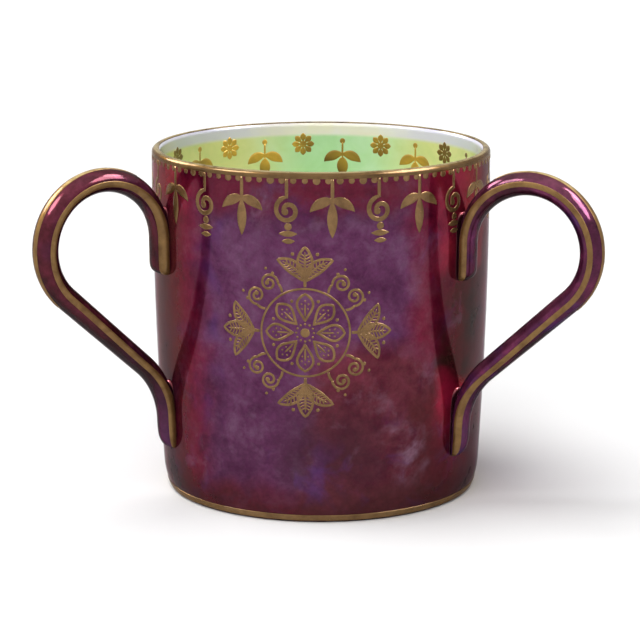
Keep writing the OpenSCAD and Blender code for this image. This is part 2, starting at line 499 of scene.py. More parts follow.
def bead_scallop(radius):
    """One scallop of the beaded edge, hung from the rim band."""
    made = Relief()
    made.dot(at(0, 0), radius)
    return made


def sprig():
    """Three broad leaves on a stem, hung from the lip: heights are from the top of the lip."""
    made = Relief()
    made.stem(STEM_TOP, -4.6, 0.56, steps=8)
    made.side_leaves(overlap=0.2, fork=-3.9, reach=3.15, tip=-5.5, width=1.6, fullest=0.45)
    made.leaf(at(0, -3.9), at(0, -9.2), 1.6, fullest=0.5)
    return made


def scroll_drop():
    """A stem that curls into a scroll over a bead and two lens-shaped bars."""
    made = Relief()
    made.stem(STEM_TOP, -3.6, 0.54)
    curl = spiral(at(0.16, -5.35), start_r=1.94, end_r=0.45, start=88, turns=1.33, steps=44)
    made.ribbon(curl, [min(0.36, 0.18 + 0.06 * i) for i in range(len(curl))])
    made.dot(curl[-1], 0.55)
    made.dot(at(0.2, -7.65), 0.6)
    made.leaf(at(-1.15, -8.65), at(1.5, -8.65), 0.95, fullest=0.5)
    made.leaf(at(-0.7, -9.7), at(1.15, -9.7), 0.85, fullest=0.5)
    return made


def rosette():
    """A small flower of broad petals, for the inside border."""
    made = Relief()
    for turn in round_angles(PETALS):
        made.leaf(polar(0.3, turn), polar(1.75, turn), 1.05, fullest=0.62, steps=8)
    made.dot(at(0, 0), 0.62)
    return made


def inner_sprig():
    """Three broad leaves on a stem with a bud, for the inside border."""
    made = Relief()
    made.dot(at(0, 2.7), 0.5)
    made.stem(2.5, -0.2, 0.36)
    made.side_leaves(overlap=0.15, fork=0.6, reach=2.9, tip=-0.6, width=1.75, fullest=0.5)
    made.leaf(at(0, 0.2), at(0, -3.0), 2.0, fullest=0.45)
    return made


def petal():
    """One openwork petal of the medallion, pointing up from its middle."""
    made = Relief()
    made.leaf_outline(at(0, 1.7), at(0, 5.6), 2.3, line=0.4, fullest=0.62, steps=18)
    made.stem(2.3, 4.1, 0.3, LINE_TAPER)
    for x, y in ((0, 4.6), (-0.5, 4.15), (0.5, 4.15), (-0.42, 3.45), (0.42, 3.45)):
        made.dot(at(x, y), 0.16, 8)
    return made


def veined_leaf(base, tip, width, bow):
    """An openwork leaf with a midrib and slanting veins."""
    made = Relief()
    fullest, steps = 0.5, 20
    made.leaf_outline(base, tip, width, line=0.42, bow=bow, fullest=fullest, steps=steps)
    rib = bowed(base, tip, bow, steps)
    made.stroke(rib[:-3], width=0.34)
    half = leaf_widths(width, fullest, steps)
    for i in range(4, steps - 5, 2):
        along = (rib[i + 1] - rib[i - 1]).normalized()
        side = square_to(along)
        for sign in (-1, 1):
            reach = half[i + 2] * 0.95
            vein = bowed(rib[i], rib[i + 2] + side * reach * sign, 0.04 * sign, 5)
            made.stroke(vein, width=0.24, taper=0.7)
    return made


def palmette():
    """A spray of three veined leaves, pointing up from the medallion's ring."""
    made = Relief()
    made.stem(6.6, 8.2, 0.5)
    made.take(veined_leaf(at(0, 7.9), at(0, 12.3), 2.1, 0.0))
    for sign in (-1, 1):
        made.take(veined_leaf(at(0.15 * sign, 7.5), at(3.9 * sign, 10.4), 1.7, -LEAF_BOW * sign))
        made.dot(at(1.75 * sign, 11.3), 0.3, 10)
    return made


def volute():
    """A scroll with berries, pointing up from the medallion's ring."""
    made = Relief()
    curl = spiral(at(0.6, 8.7), start_r=1.35, end_r=0.3, start=215, turns=-1.5, steps=36)
    made.stroke(bowed(at(-0.3, 6.6), curl[0], -0.1, 8), 0.42, STEM_TAPER)
    made.ribbon(curl, [0.2] * len(curl))
    made.dot(curl[-1], 0.38, 10)
    made.dot(at(-0.6, 9.6), 0.28, 10)
    made.dot(at(-0.1, 10.7), 0.24, 10)
    return made


def medallion():
    """The front panel's ornament: a flower in a beaded ring with leaf sprays and scrolls."""
    made = Relief()
    made.dot(at(0, 0), 0.75)
    for turn in round_angles(SEEDS):
        made.dot(polar(1.25, turn), 0.19, 8)
    for turn in round_angles(PETALS):
        made.take(petal().placed(turn))
        made.dot(polar(4.9, turn + pi / PETALS), 0.27, 10)
    made.ribbon([polar(RING_R, turn) for turn in round_angles(RING_STEPS)], [0.17] * RING_STEPS, closed=True)
    for turn in round_angles(SPRAYS):
        aside = turn + pi / SPRAYS
        made.take(palmette().placed(turn))
        made.take(volute().placed(aside - VOLUTE_TURN, flip=True))
        made.take(volute().placed(aside + VOLUTE_TURN))
    return made


# Materials

def linear(red, green, blue):
    """Linear colour of an sRGB colour of 0 to 255."""
    def channel(v):
        v /= 255
        return v / 12.92 if v <= 0.04045 else ((v + 0.055) / 1.055) ** 2.4
    return channel(red), channel(green), channel(blue), 1.0


# Colours of the lustre
PLUM = linear(66, 18, 54)
VIOLET = linear(94, 45, 82)
GREY_VIOLET = linear(118, 79, 110)
PALE_VIOLET = linear(158, 126, 152)
BLUE_VIOLET = linear(78, 44, 104)
DEEP_RED = linear(78, 10, 35)
CRIMSON = linear(108, 20, 47)
ROSE = linear(114, 44, 62)
FOOT_BROWN = linear(58, 24, 22)
DARK_PLUM = linear(52, 18, 34)
MULBERRY = linear(86, 34, 62)
MAGENTA = linear(122, 50, 86)
DARK_RED = linear(50, 18, 22)
GARNET = linear(78, 27, 36)
PINK = linear(108, 40, 58)
# Painted shade on the handles' undersides and painted highlight on their upward faces
UNDERSIDE_SHADE = linear(38, 16, 20)
ROSE_TOP_HIGHLIGHT = linear(158, 104, 114)
ROOT_VIOLET = linear(88, 48, 84)
# Painted shade and reflection of the handles on the wall beside them
SHADE_RED = linear(98, 46, 42)
SHADE_OLIVE = linear(52, 36, 24)
RUSSET = linear(94, 34, 46)
FLAME = linear(184, 32, 70)
EMBER = linear(72, 20, 18)
DUSK = linear(56, 24, 36)
LUSTRE_EDGE = linear(140, 100, 110)
GILT_EDGE = linear(168, 156, 138)
POOL_EDGE = linear(110, 90, 94)
# Dark pooled glaze, whose darkness also stands as painted shade in the creases at the roots, and a painted
# highlight where the pool faces up
POOL_DARK = linear(40, 16, 22)
POOL_RED = linear(76, 28, 38)
POOL_TOP_HIGHLIGHT = linear(160, 84, 92)
FLECK = (0.74, 0.74, 0.74, 1)
WHITE = (1, 1, 1, 1)

# Colours of the inside
PALE_GREEN = linear(206, 242, 204)
SEA_GREEN = linear(184, 232, 176)
STRAW = linear(244, 238, 172)
LIME = linear(222, 230, 158)
LAVENDER = linear(234, 230, 252)
PEARL = linear(250, 248, 250)
CREAM = linear(252, 246, 230)

# Colours of the gilding, the inside print, the bare china and the floor
GILT = (linear(100, 74, 46), linear(134, 104, 68))
RIM_GILT = (linear(84, 62, 36), linear(112, 86, 52))
# Painted highlight on the upward-facing gilding of the lip
RIM_TOP_HIGHLIGHT = linear(190, 172, 128)
LINE_GILT = (linear(98, 71, 41), linear(134, 103, 62))
# Painted highlight on the upward-facing parts of the handles' lines
LINE_TOP_HIGHLIGHT = linear(204, 180, 128)
PRINT_BROWN = linear(110, 84, 40)
BRONZE = linear(126, 94, 40)
OLD_GOLD = linear(190, 152, 66)
BRIGHT_GOLD = linear(228, 180, 76)
CHINA = (linear(206, 196, 182), linear(226, 219, 207))
PAPER = ((0.93, 0.93, 0.93, 1), (0.95, 0.95, 0.95, 1))


class Nodes:
    """A material's node tree, with short calls to add and join nodes."""

    def __init__(self, tree):
        self.tree = tree
        self.place = None
        tree.nodes.clear()

    def add(self, kind, settings=None, **inputs):
        """A node with its settings and inputs; an input is a value or another node's output."""
        node = self.tree.nodes.new(kind)
        for key, value in (settings or {}).items():
            setattr(node, key, value)
        for key, value in inputs.items():
            by_number = key.startswith("in") and key[2:].isdigit()
            self.join(value, node.inputs[int(key[2:]) if by_number else key.replace("_", " ")])
        return node

    def join(self, value, socket):
        """Give an input a value, or link another node's output to it."""
        if isinstance(value, bpy.types.NodeSocket):
            self.tree.links.new(value, socket)
        else:
            socket.default_value = value

    def ramp(self, factor, stops):
        """Colours [(position, colour)] along a factor."""
        node = self.add("ShaderNodeValToRGB", in0=factor)
        band = node.color_ramp.elements
        while len(band) < len(stops):
            band.new(1.0)
        for element, (position, colour) in zip(band, stops):
            element.position = position
            element.color = colour
        return node.outputs[0]

    def operate(self, kind, operation, values):
        inputs = {"in%d" % i: value for i, value in enumerate(values)}
        return self.add(kind, {"operation": operation}, **inputs).outputs[0]

    def math(self, operation, *values):
        return self.operate("ShaderNodeMath", operation, values)

    def vector(self, operation, *values):
        return self.operate("ShaderNodeVectorMath", operation, values)

    def scaled(self, value, by, plus):
        """A value times one number plus another."""
        return self.math("MULTIPLY_ADD", value, by, plus)

    def product(self, first, *others):
        """Factors multiplied together."""
        for other in others:
            first = self.math("MULTIPLY", first, other)
        return first

    def largest(self, first, *others):
        """The largest of some factors."""
        for other in others:
            first = self.math("MAXIMUM", first, other)
        return first

    def ease(self, value, low, high):
        """0 below low and 1 above high, eased between them."""
        return self.add("ShaderNodeMapRange", {"interpolation_type": "SMOOTHSTEP"}, Value=value,
                        From_Min=low, From_Max=high).outputs[0]

    def ease_mm(self, value, low, high):
        """The same for a place, between two marks in millimetres."""
        return self.ease(value, low * MM, high * MM)

    def within_mm(self, value, first, full, until, last):
        """1 between full and until, eased to 0 at first and at last, in millimetres."""
        return self.product(self.ease_mm(value, first, full), self.ease_mm(value, last, until))

    def parts(self, vector):
        """The x, y and z of a vector."""
        return self.add("ShaderNodeSeparateXYZ", Vector=vector).outputs

    def upward(self):
        """How far the surface faces up: 1 on top and -1 below."""
        return self.parts(self.add("ShaderNodeNewGeometry").outputs["Normal"])[2]

    def mix(self, factor, a, b, blend="MIX"):
        settings = {"data_type": "RGBA", "blend_type": blend}
        return self.add("ShaderNodeMix", settings, in0=factor, in6=a, in7=b).outputs[2]

    def tint(self, colour, target, *factors):
        """A colour mixed towards another by the product of some factors."""
        return self.mix(self.product(*factors), colour, target)

    def noise(self, scale, detail=3.0, rough=0.55, warp=0.0):
        return self.add("ShaderNodeTexNoise", Vector=self.place, Scale=scale, Detail=detail, Roughness=rough,
                        Distortion=warp).outputs["Fac"]

    def bump(self, height, strength, distance):
        return self.add("ShaderNodeBump", Height=height, Strength=strength, Distance=distance).outputs[0]

    def surface(self, shader):
        self.add("ShaderNodeOutputMaterial", Surface=shader.outputs[0])

    def principled(self, **inputs):
        """A surface of one shader with these inputs."""
        self.surface(self.add("ShaderNodeBsdfPrincipled", **inputs))


def new_material(name):
    """A material and its nodes, with the place of a point on its piece."""
    material = bpy.data.materials.new(name)
    material.use_nodes = True
    n = Nodes(material.node_tree)
    n.place = n.add("ShaderNodeTexCoord").outputs["Object"]
    return material, n


def mottled(n):
    """A cloudy factor about 0.5 with mottles of a millimetre or two in it."""
    clouds = n.noise(130, 3, 0.5, 0.6)
    mottles = n.noise(480, 5, 0.7, 0.4)
    return n.math("ADD", n.product(clouds, 0.55), n.product(mottles, 0.45))


# Sockets that tell where a point of the wall is, and its cloudy tone
Wall = namedtuple("Wall", "tone x z turn panel front")


def wall_sockets(n):
    """Where a point of the wall is, with wandering borders: panel is 1 mid-panel and -1 at a handle."""
    drift = n.add("ShaderNodeTexNoise", Vector=n.place, Scale=150.0, Detail=2.0).outputs["Color"]
    drift = n.vector("SUBTRACT", drift, (0.5, 0.5, 0.5))
    wandering = n.vector("MULTIPLY_ADD", drift, (WANDER * MM,) * 3, n.place)
    x, y, z = n.parts(wandering)
    turn = n.math("ARCTAN2", x, n.product(y, -1.0))
    panel = n.math("COSINE", n.product(turn, PANELS))
    return Wall(mottled(n), x, z, turn, panel, n.ease_mm(y, 4, -4))


def ground_colour(n, wall):
    """Violet panels, crimson near the handles, the rim and the foot."""
    violet = n.ramp(wall.tone, ((0.3, PLUM), (0.5, VIOLET), (0.7, GREY_VIOLET)))
    warm = n.ramp(wall.tone, ((0.36, DEEP_RED), (0.5, CRIMSON), (0.64, ROSE)))
    blue = n.ease(n.noise(90, 2, 0.5, 0.8), 0.58, 0.75)
    near_handle = n.ease(wall.panel, 0.0, -0.7)
    near_rim = n.ease_mm(wall.z, 43.5, 48)
    near_foot = n.ease_mm(wall.z, *FOOT_ZONE)
    edges = n.largest(near_handle, near_rim, near_foot)
    uneven = n.ease(n.noise(160, 4, 0.65, 0.5), 0.2, 0.5)
    colour = n.mix(n.product(edges, uneven), n.mix(blue, violet, BLUE_VIOLET), warm)
    under_rim = n.product(n.ease_mm(wall.z, 41.5, 45), n.ease(wall.panel, -0.6, 0.0), 0.3)
    return n.mix(under_rim, colour, DUSK)


def panel_marks(n, wall, colour):
    """A russet patch to the right of each panel's middle and a dusky one low on the front."""
    aside = n.math("COSINE", n.scaled(wall.turn, PANELS, -PANELS * PATCH_BEARING))
    patch = n.product(n.ease(aside, -0.2, 1.0), n.ease_mm(wall.z, 33, 20))
    patch = n.math("ADD", patch, n.noise(110, 4, 0.6, 0.6))
    russet = n.ramp(wall.tone, ((0.36, DEEP_RED), (0.5, RUSSET), (0.64, ROSE)))
    colour = n.mix(n.ease(patch, 0.75, 1.35), colour, russet)
    ahead = n.math("COSINE", n.math("SUBTRACT", wall.turn, DUSK_BEARING))
    share = n.scaled(n.ease(ahead, 0.92, 1.0), 0.5, 0.22)
    return n.tint(colour, DUSK, n.ease_mm(wall.z, 24, 8), n.ease_mm(wall.z, 2, 10), share)


def root_marks(n, wall, colour):
    """Beside the front handles: painted shade and reflection of the handles at mid height, red by the roots,
    embers low on the right.
    """
    rightwards = n.ease_mm(wall.x, -5, 5)
    # Painted shade and reflection of the handles on the wall beside them
    shade = n.mix(rightwards, SHADE_RED, SHADE_OLIVE)
    beside = n.product(n.ease(wall.panel, -0.65, -0.95), n.ease_mm(wall.z, 12, 18))
    colour = n.tint(colour, shade, beside, n.ease(wall.tone, 0.3, 0.6), wall.front, 0.85)
    lower = n.product(n.within_mm(wall.z, 10, 15, 18.5, 21.5), n.ease(wall.panel, -0.7, -0.97))
    upper = n.product(n.ease_mm(wall.z, 34, 38), 0.6)
    under_rim = n.product(n.ease_mm(wall.z, 41, 46), 0.5)
    glow = n.largest(n.product(n.largest(lower, upper), rightwards), under_rim)
    glow = n.product(glow, n.ease(wall.panel, -0.55, -0.9), n.ease(wall.tone, 0.2, 0.55), wall.front)
    colour = n.tint(colour, FLAME, glow, 0.8)
    ember = n.product(n.within_mm(wall.x, 14.5, 16.5, 19, 21), n.ease_mm(wall.z, 21, 16), wall.front)
    return n.tint(colour, EMBER, ember, 0.6)


def clouds(n, wall, colour):
    """Pale wisps all over, pale clouds low right and high left on the front, blue smoke below."""
    wisps = n.ease(n.noise(200, 5, 0.62, 0.3), 0.56, 0.74)
    puffs = n.product(n.ease(n.noise(130, 5, 0.62, 0.3), 0.4, 0.64), wall.front)
    low_right = n.product(n.within_mm(wall.x, 8, 12, 15, 17), n.within_mm(wall.z, 2.5, 7.5, 11, 16.5), puffs)
    high_left = n.product(n.ease_mm(wall.x, -3, -8), n.within_mm(wall.z, 23, 29, 40, 46),
                          n.ease(wall.panel, -0.4, 0.3), puffs)
    smoke = n.ease(n.noise(150, 4, 0.6, 0.8), 0.54, 0.72)
    smoke = n.product(smoke, n.ease_mm(wall.z, 20, 8))
    colour = n.tint(colour, PALE_VIOLET, wisps, 0.16)
    colour = n.tint(colour, PALE_VIOLET, low_right, 0.55)
    colour = n.tint(colour, GREY_VIOLET, high_left, 0.7)
    return n.tint(colour, BLUE_VIOLET, smoke, 0.4)


def foot_run(n, wall, colour):
    """Brown towards the foot, with a violet run down to it at the front."""
    colour = n.tint(colour, FOOT_BROWN, n.ease_mm(wall.z, *FOOT_ZONE), 0.65)
    run = n.product(n.within_mm(wall.x, 0.6, 1.8, 3.4, 4.6), n.within_mm(wall.z, 0.5, 5, 8, 13), wall.front)
    return n.tint(colour, BLUE_VIOLET, run, 0.4)


def body_lustre():
    """The wall's glossy mottled lustre."""
    material, n = new_material("body_lustre")
    wall = wall_sockets(n)
    colour = ground_colour(n, wall)
    for marks in (panel_marks, root_marks, clouds, foot_run):
        colour = marks(n, wall, colour)
    lustre_shader(n, colour, ripple=0.06, sheen=0.55, clear=0.23)
    return material


def handle_lustre():
    """The handles' lustre: maroon left and magenta right, with painted shade below and a painted highlight
    where it faces up.
    """
    material, n = new_material("handle_lustre")
    x, _, z = n.parts(n.place)
    tone = mottled(n)
    streaks = n.noise(80, 3, 0.5, 0.4)
    rightwards = n.ease(n.math("ADD", streaks, n.product(x, 4.0)), 0.36, 0.6)
    plum = n.ramp(tone, ((0.36, DARK_PLUM), (0.5, MULBERRY), (0.64, MAGENTA)))
    warm = n.ramp(tone, ((0.36, DARK_RED), (0.5, GARNET), (0.64, PINK)))
    colour = n.mix(rightwards, warm, plum)
    # Painted shade on faces turned down, painted highlight on faces turned up, both broken up by the tone
    height = n.math("ADD", n.upward(), n.scaled(tone, 1.4, -0.7))
    colour = n.tint(colour, UNDERSIDE_SHADE, n.ease(height, 0.0, -0.8), 0.8)
    colour = n.tint(colour, ROSE_TOP_HIGHLIGHT, n.ease(height, 0.2, 1.0), n.scaled(rightwards, 0.2, 0.1))
    colour = n.tint(colour, ROOT_VIOLET, n.ease_mm(z, 20, 8), 0.7)
    flame = n.ease(n.noise(140, 3, 0.5, 0.6), 0.53, 0.68)
    colour = n.tint(colour, BLUE_VIOLET, flame, rightwards, 0.55)
    lustre_shader(n, colour, ripple=0.14, sheen=0.5, clear=0.2)
    return material


def lustre_shader(n, colour, ripple, sheen, clear):
    """Fine speckle and rippled gloss on a colour, metallic by sheen, under a clear glaze."""
    speckle = n.noise(1100, 4, 0.7)
    flecks = n.ramp(speckle, ((0.3, FLECK), (0.65, WHITE)))
    waves = n.noise(300, 3, 0.6)
    n.principled(Base_Color=n.mix(1.0, colour, flecks, "MULTIPLY"), Metallic=sheen,
                 Roughness=n.ease(speckle, -0.3, 3.0), Specular_IOR_Level=0.0, Specular_Tint=LUSTRE_EDGE,
                 Coat_Weight=clear, Coat_Roughness=0.05, Normal=n.bump(waves, ripple, 0.0006))


def inside_glaze():
    """Pale green lustre, yellower towards the sides, with a pearly band under the lip."""
    material, n = new_material("inside_glaze")
    x, _, z = n.parts(n.place)
    clouds = n.noise(140, 4, 0.6, 0.6)
    green = n.ramp(clouds, ((0.35, PALE_GREEN), (0.65, SEA_GREEN)))
    yellow = n.ramp(clouds, ((0.35, STRAW), (0.65, LIME)))
    sideways = n.math("ADD", n.math("ABSOLUTE", x), n.product(clouds, 8 * MM))
    share = n.ease_mm(sideways, 8, 20)
    pearl = n.ramp(n.noise(160, 3, 0.5), ((0.4, PEARL), (0.65, CREAM)))
    pearl = n.mix(share, pearl, LAVENDER)
    band = n.ease_mm(z, *PEARL_BAND)
    waves = n.noise(240, 2, 0.5)
    n.principled(Base_Color=n.mix(band, n.mix(share, green, yellow), pearl), Roughness=0.12, Coat_Weight=0.4,
                 Coat_Roughness=0.05, Normal=n.bump(waves, 0.05, 0.0004))
    return material


def bare_china():
    """Unglazed body on the foot ring and under the cup."""
    material, n = new_material("bare_china")
    grain = n.noise(1500, 5, 0.7)
    dark, light = CHINA
    n.principled(Base_Color=n.ramp(grain, ((0.3, dark), (0.7, light))), Roughness=0.75,
                 Normal=n.bump(grain, 0.3, 0.0001))
    return material


def gilding(name, shades, rough, top_highlight=None):
    """Satin gold, dark to light by its wear, with a painted highlight where it faces up."""
    material, n = new_material(name)
    dark, light = shades
    wear = n.noise(420, 5, 0.65, 0.3)
    grain = n.noise(2600, 3, 0.6)
    colour = n.ramp(wear, ((0.3, dark), (0.65, light)))
    if top_highlight:
        # Painted highlight: a paler colour where the gilding faces up, broken up by the wear
        facing_up_highlight = n.product(n.ease(n.upward(), 0.72, 0.97), n.ease(wear, 0.25, 0.6))
        colour = n.mix(facing_up_highlight, colour, top_highlight)
    n.principled(Base_Color=colour, Metallic=0.6, Roughness=n.scaled(grain, 0.1, rough),
                 Specular_IOR_Level=0.0, Specular_Tint=GILT_EDGE, Coat_Weight=0.25, Coat_Roughness=0.08,
                 Normal=n.bump(grain, 0.03, 0.0001))
    return material


def pooled_glaze():
    """Dark glaze pooled round the roots, its darkness also painted shade in the creases, with a painted
    highlight where it faces up.
    """
    material, n = new_material("pooled_glaze")
    clouds = n.noise(400, 4, 0.6)
    colour = n.ramp(clouds, ((0.3, POOL_DARK), (0.7, POOL_RED)))
    # Painted highlight where the pool faces up
    n.principled(Base_Color=n.mix(n.ease(n.upward(), 0.05, 0.6), colour, POOL_TOP_HIGHLIGHT), Metallic=0.6,
                 Roughness=0.25, Specular_IOR_Level=0.0, Specular_Tint=POOL_EDGE, Coat_Weight=0.3,
                 Coat_Roughness=0.05, Normal=n.bump(clouds, 0.1, 0.0002))
    return material


def inside_gilding():
    """Golden-brown print of the inside border, glossy under the glaze."""
    material, n = new_material("inside_gilding")
    tint = n.noise(90, 2, 0.5)
    grain = n.noise(1500, 4, 0.65)
    colour = n.ramp(tint, ((0.43, BRONZE), (0.5, OLD_GOLD), (0.57, BRIGHT_GOLD)))
    n.principled(Base_Color=n.tint(colour, PRINT_BROWN, grain, 0.35), Metallic=0.35, Roughness=0.35,
                 Normal=n.bump(grain, 0.15, 0.0001))
    return material


# Body and bands

def build_body(outer, inner, bare):
    """The cup's body: outer glaze, inner glaze from the lip on, bare china underneath."""
    foot_in = FOOT_R - FOOT_W
    recess = [at(r, FOOT_RECESS) for r in spread(0.0, foot_in - FOOT_RECESS / 2, BASE_STEPS)]
    ring = [at(foot_in, 0.0), at(FOOT_R - FOOT_ROUND, 0.0)]
    outside = outside_profile(WALL_STEPS)[1:]
    lip = lip_profile(0, 180)[1:]
    profile = recess + ring + outside + lip + inside_profile(WALL_STEPS)
    body = make_piece("glazed_body", revolve(profile, closed=False), outer, ("cup_body",))
    inner_slot, bare_slot = 1, 2
    body.data.materials.append(inner)
    body.data.materials.append(bare)
    inner_from = len(recess) + len(ring) + len(outside) + len(lip) // 2
    bare_to = len(recess) + 1
    for face in body.data.polygons:
        row = face.index // TURN_STEPS
        if row >= inner_from:
            face.material_index = inner_slot
        elif row < bare_to:
            face.material_index = bare_slot


def build_bands(rim_gold, foot_gold):
    """Gilt bands on the lip and on the heel."""
    rim_low = [at(wall_r(RIM_BAND_LOW) - GILT_SINK, RIM_BAND_LOW)]
    rim_up = [at(wall_r(z) + GILT_T, z) for z in spread(RIM_BAND_LOW, LIP_Z, RIM_BAND_STEPS)]
    rim_back = lip_profile(LIP_WRAP, 0, -GILT_SINK)
    rim = rim_low + rim_up + lip_profile(0, LIP_WRAP, GILT_T)[1:] + rim_back
    make_piece("rim_band", revolve(rim, closed=True), rim_gold, ("gilt_rim_band",))
    centre, radius, _, _ = heel_arc()
    low, high = (asin((z - centre.y) / radius) for z in FOOT_BAND)
    foot = [centre + polar(radius + GILT_T, a) for a in spread(low, high, BAND_STEPS)]
    foot += [centre + polar(radius - GILT_SINK, a) for a in spread(high, low, BAND_STEPS)]
    make_piece("foot_band", revolve(foot, closed=True), foot_gold, ("gilt_foot_band",))


# Handles and what lies on them

# A section of a handle: distance from the axis, height, heading, width, thickness,
# how far its side lines run towards the crest in degrees, and its share of a root's shape
Station = namedtuple("Station", "u z heading w t shift root", defaults=(0.0, 0.0))


def smooth(t):
    return t * t * (3 - 2 * t)


def mixed(a, b, t):
    return a + (b - a) * t


def root_station(z, heading, w, t, shift=0.0):
    """A section of a root, pressed on the wall at a height."""
    return Station(wall_r(z) + t / 2 - ROOT_PRESS, z, heading, w, t, shift, 1.0)


def root_tip(z, length, heading, w, shift=0.0):
    """Sections of a root's blunt tip, which rounds off downwards from a height."""
    for turn in spread(0.0, 1.0, TIP_STEPS)[1:]:
        k = TIP_SHARE * sin(turn * pi / 2)
        full = sqrt(1 - k ** TIP_POWER)
        yield root_station(z - length * k, heading, w * full, ROOT_T * full, shift)


def upper_root():
    """Sections of the upper root, from its tip up to the loop."""
    up = pi / 2 - wall_lean(LOOP_Z)
    tip_z = LOOP_Z - UPPER_ROOT_L
    tip = list(root_tip(tip_z, UPPER_TIP_L, up, ROOT_W))
    return tip[::-1] + [root_station(z, up, ROOT_W, ROOT_T) for z in spread(tip_z, LOOP_Z, ROOT_STEPS)]


def loop_stations(middle, last):
    """Sections of the loop, which swells from the upper root and ends at the angle last."""
    for t in spread(0.0, 1.0, LOOP_STEPS)[1:]:
        a = mixed(pi - wall_lean(LOOP_Z), last, t)
        p = middle + polar(LOOP_R, a)
        k = smooth(min(1.0, t / SWELL))
        yield Station(p.x, p.y, a - pi / 2, mixed(ROOT_W, HANDLE_W, k), mixed(ROOT_T, HANDLE_T, k),
                      LOOP_SHIFT * smooth(t), 1 - k)


def stem_stations(first, last, heading):
    """Sections of the straight stem between two points, thinner towards the bend."""
    for t in spread(0.0, 1.0, STEM_STEPS)[1:]:
        p = first.lerp(last, t)
        shift = mixed(LOOP_SHIFT, STEM_SHIFT, smooth(t))
        yield Station(p.x, p.y, heading, HANDLE_W, mixed(HANDLE_T, STEM_T, t), shift)


def bend_stations(middle, first):
    """Sections of the bend, from opposite the angle where the loop ends back to the wall."""
    for t in spread(0.0, 1.0, BEND_STEPS)[1:]:
        a = mixed(first, -wall_lean(LOWER_ROOT_Z), t) + pi
        p = middle + polar(BEND_R, a)
        shift = mixed(STEM_SHIFT, ROOT_SHIFT, smooth(t))
        yield Station(p.x, p.y, a - 3 * pi / 2, mixed(HANDLE_W, LOWER_ROOT_W, t), mixed(STEM_T, ROOT_T, t),
                      shift, smooth(t))


def lower_root():
    """Sections of the lower root, from the bend down to its tip."""
    down = 3 * pi / 2 - wall_lean(LOWER_ROOT_Z)
    tip_z = LOWER_ROOT_Z - LOWER_ROOT_L
    first = root_station(tip_z, down, LOWER_ROOT_W, ROOT_T, ROOT_SHIFT)
    return [first, *root_tip(tip_z, LOWER_TIP_L, down, LOWER_ROOT_W, ROOT_SHIFT)]


def arc_middle(z, radius):
    """Centre of the arc of a handle that runs into the wall at a height."""
    return at(wall_r(z) + SEAT, z) + polar(radius, -wall_lean(z))


def handle_stretches():
    """Sections along a handle as five lists: upper root, loop, stem, bend and lower root."""
    loop_mid, bend_mid = arc_middle(LOOP_Z, LOOP_R), arc_middle(LOWER_ROOT_Z, BEND_R)
    centres = bend_mid - loop_mid
    loop_to = atan2(centres.y, centres.x) + acos((LOOP_R + BEND_R) / centres.length)
    stem_from = loop_mid + polar(LOOP_R, loop_to)
    stem_to = bend_mid + polar(BEND_R, loop_to + pi)
    loop = loop_stations(loop_mid, loop_to)
    stem = stem_stations(stem_from, stem_to, loop_to - pi / 2)
    bend = bend_stations(bend_mid, loop_to)
    return upper_root(), list(loop), list(stem), list(bend), lower_root()


def section_point(station, angle, lift=0.0):
    """Point of a station's oval section at an angle, raised off it by lift."""
    normal = at(cos(angle) / station.w, sin(angle) / station.t).normalized()
    across = cos(angle) * station.w / 2 + lift * normal.x
    out = sin(angle) * station.t / 2 + lift * normal.y
    return Vector((station.u - sin(station.heading) * out, across,
                   station.z + cos(station.heading) * out))


def to_handle(point, bearing, drop):
    """A point drawn over +X, moved to a handle's place: skewed about its root, turned and dropped."""
    pivot = wall_r(LOOP_Z) + SEAT
    skewed = polar(point.x - pivot, SKEW) + polar(point.y, SKEW + pi / 2) + at(pivot, 0)
    turn = radians(bearing)
    placed = polar(skewed.x, turn) + polar(skewed.y, turn + pi / 2)
    return Vector((placed.x, placed.y, point.z - drop))


def tube(rings):
    """Points and faces of a closed skin over rings of points."""
    return [p for ring in rings for p in ring], ring_faces(len(rings), len(rings[0]))


def handle_tube(rings, bearing, drop):
    """The same over rings drawn over +X, moved to a handle's place."""
    return tube([[to_handle(p, bearing, drop) for p in ring] for ring in rings])


def gilt_strip(stations, side, loop_half, root_half, lean=0.0):
    """Rings of a gilt line along stations: side is 1 or -1 for a line on a side, and 0 on the crest."""
    section = line_section()
    rings = []
    for station in stations:
        middle = pi / 2 - side * (pi / 2 - radians(station.shift + lean))
        half = mixed(loop_half, root_half, station.root)
        reach = asin(min(LINE_REACH, 2 * half / max(station.t, ROOT_T)))
        ring = [section_point(station, middle + reach * share, gilt_lift(rise)) for share, rise in section]
        rings.append(ring)
    return rings


def wall_gap(station):
    """Gap between the wall and a station's near face, less than 0 where the station is pressed on."""
    return station.u - station.t / 2 - wall_r(station.z)


def pool_size(station):
    """Half width and height of the glaze under a station: a thin lip at a root, then a mound in the wedge."""
    lifted = max(0.0, wall_gap(station) + ROOT_PRESS) / (WEDGE_GAP + ROOT_PRESS)
    fade = sqrt(max(0.0, 1 - lifted * lifted))
    off = 1 - 2 * ROOT_PRESS / station.t if lifted > 0 else (station.u - wall_r(station.z)) / (station.t / 2)
    half = station.w / 2 * sqrt(max(0.0, 1 - off * off)) + POOL_LIP
    thin = max(0.0, station.t - ROOT_PRESS) / (ROOT_T - ROOT_PRESS) * POOL_T
    return max(POOL_LIP, half * fade), max(thin, wall_gap(station) + WEDGE_CLIMB) * fade


def glaze_pool(stations, bearing, drop):
    """Rings of the glaze pooled on the wall round the root that the stations cover."""
    rings = []
    for station in stations:
        half, height = pool_size(station)
        foot = to_handle(Vector((wall_r(station.z), 0, station.z)), bearing, drop)
        middle, r = atan2(foot.y, foot.x), wall_r(foot.z)
        ring = []
        for share, rise in POOL_SECTION:
            p = polar(r - POOL_SINK if rise is None else r + height * rise, middle + half * share / r)
            ring.append(Vector((p.x, p.y, foot.z)))
        rings.append(ring)
    return rings


